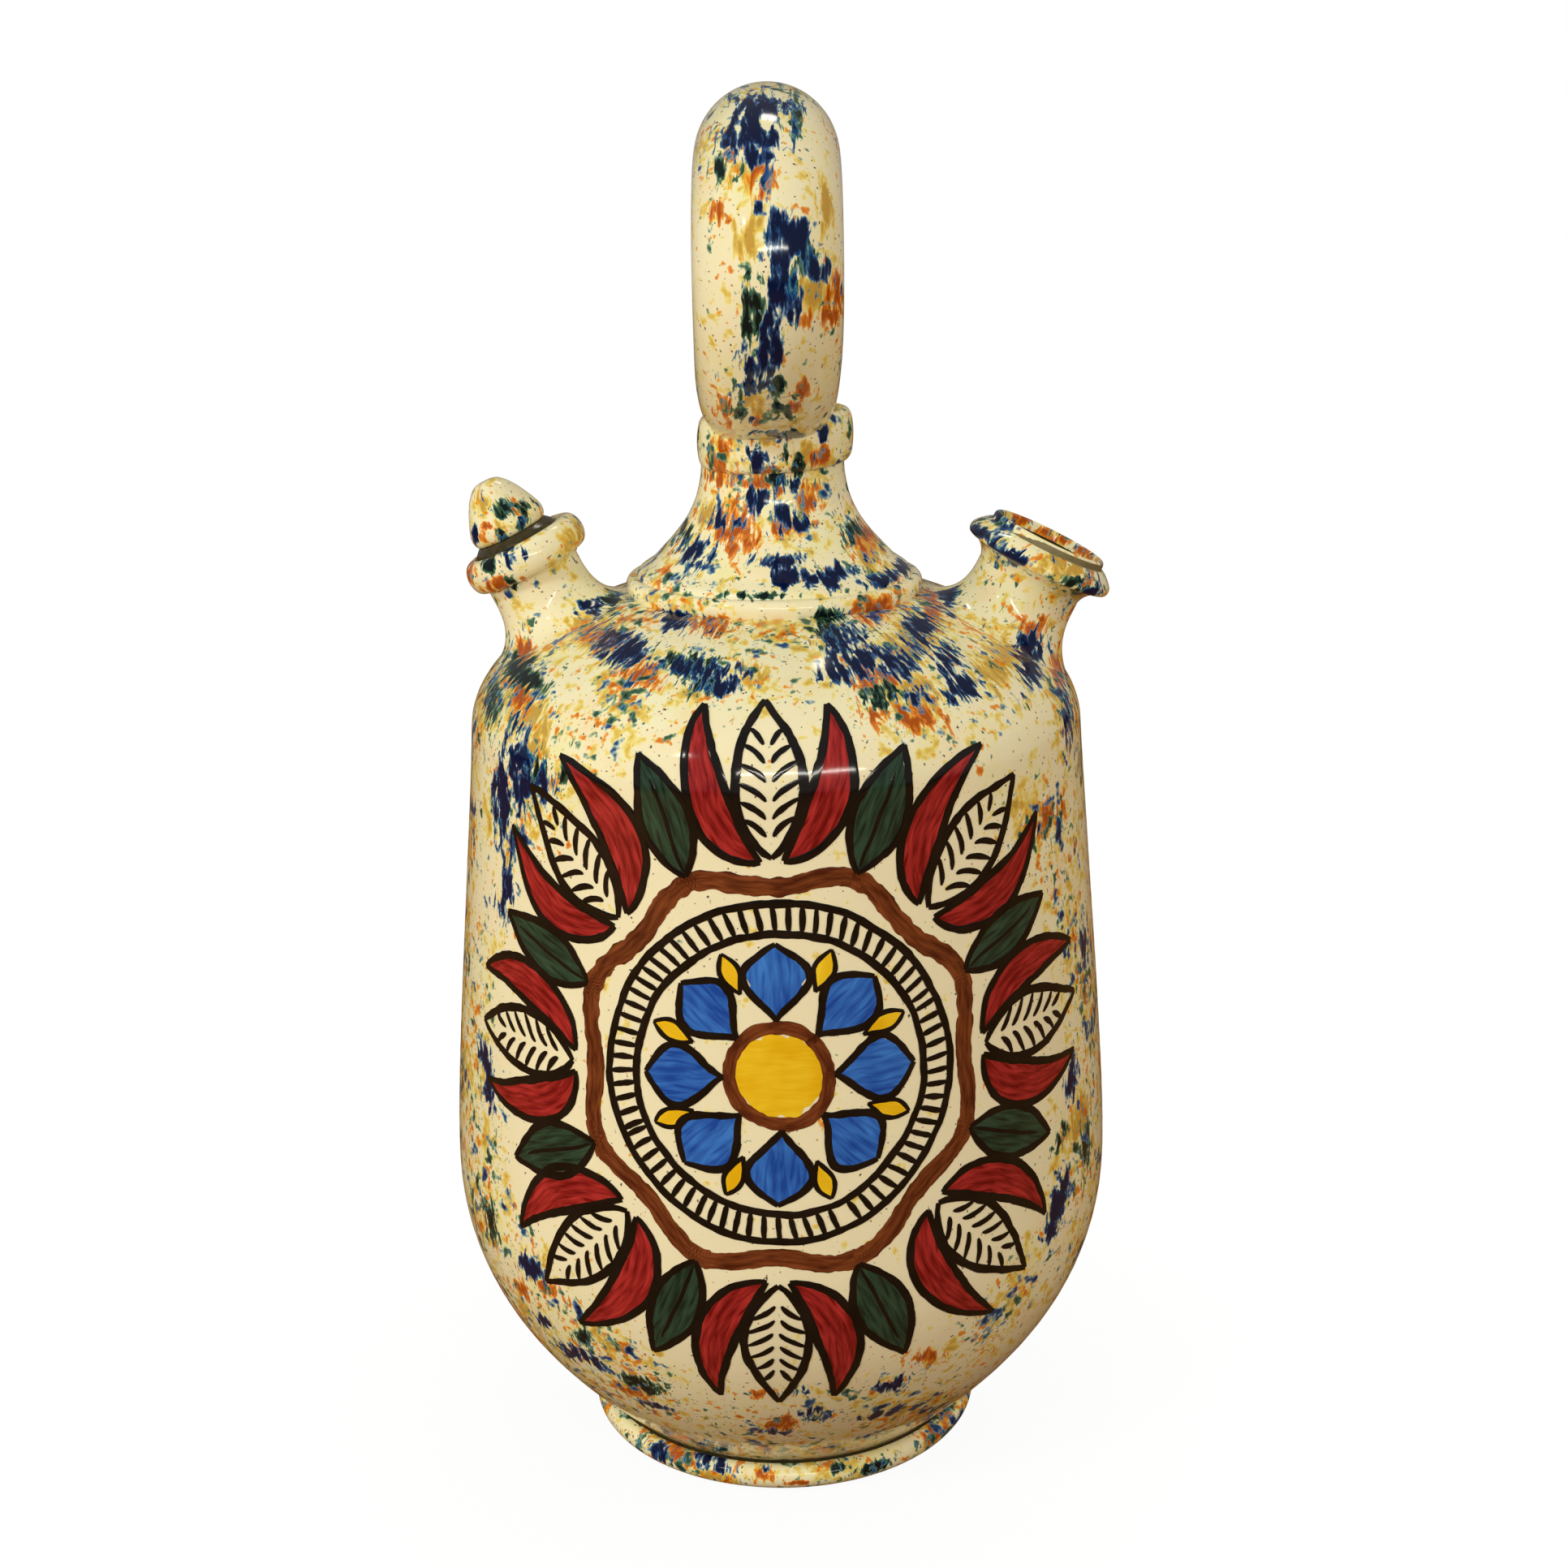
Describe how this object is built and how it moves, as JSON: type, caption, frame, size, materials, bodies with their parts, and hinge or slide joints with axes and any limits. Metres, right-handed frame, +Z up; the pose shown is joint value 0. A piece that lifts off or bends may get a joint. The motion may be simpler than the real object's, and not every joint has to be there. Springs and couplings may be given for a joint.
{
  "type": "two-spouted water jug",
  "caption": "Tall glazed clay water jug with a ring handle on a neck, a flanged filling spout and a stoppered pouring spout, its front painted with a rosette over spatter glaze.",
  "frame": {"origin": "on the jug's axis, in the plane that its foot ring stands on", "axes": "+Z up along the jug's axis; +X towards the filling spout, -X towards the stoppered pouring spout; -Y is the painted front; the ring handle's loop lies in the YZ plane"},
  "size_m": [0.198, 0.198, 0.4028],
  "materials": {
    "spatter_glaze": "gloss",
    "bare_clay": "matte"
  },
  "bodies": {
    "jug": {"foot_ring": "spatter_glaze", "pot": "spatter_glaze", "shoulder": "spatter_glaze", "neck": "spatter_glaze", "collar": "spatter_glaze", "ring_handle": "spatter_glaze", "filling_neck": "spatter_glaze", "filling_rim": "spatter_glaze", "pouring_neck": "spatter_glaze", "pouring_rim": "spatter_glaze"},
    "stopper": {"stopper_plug": "bare_clay", "stopper_knob": "spatter_glaze"}
  },
  "joints": [
    {"name": "stopper_lift", "type": "slide", "parent": "jug", "child": "stopper", "axis": [-0.4384, 0, 0.8988], "range_m": [0, 0.05]}
  ]
}
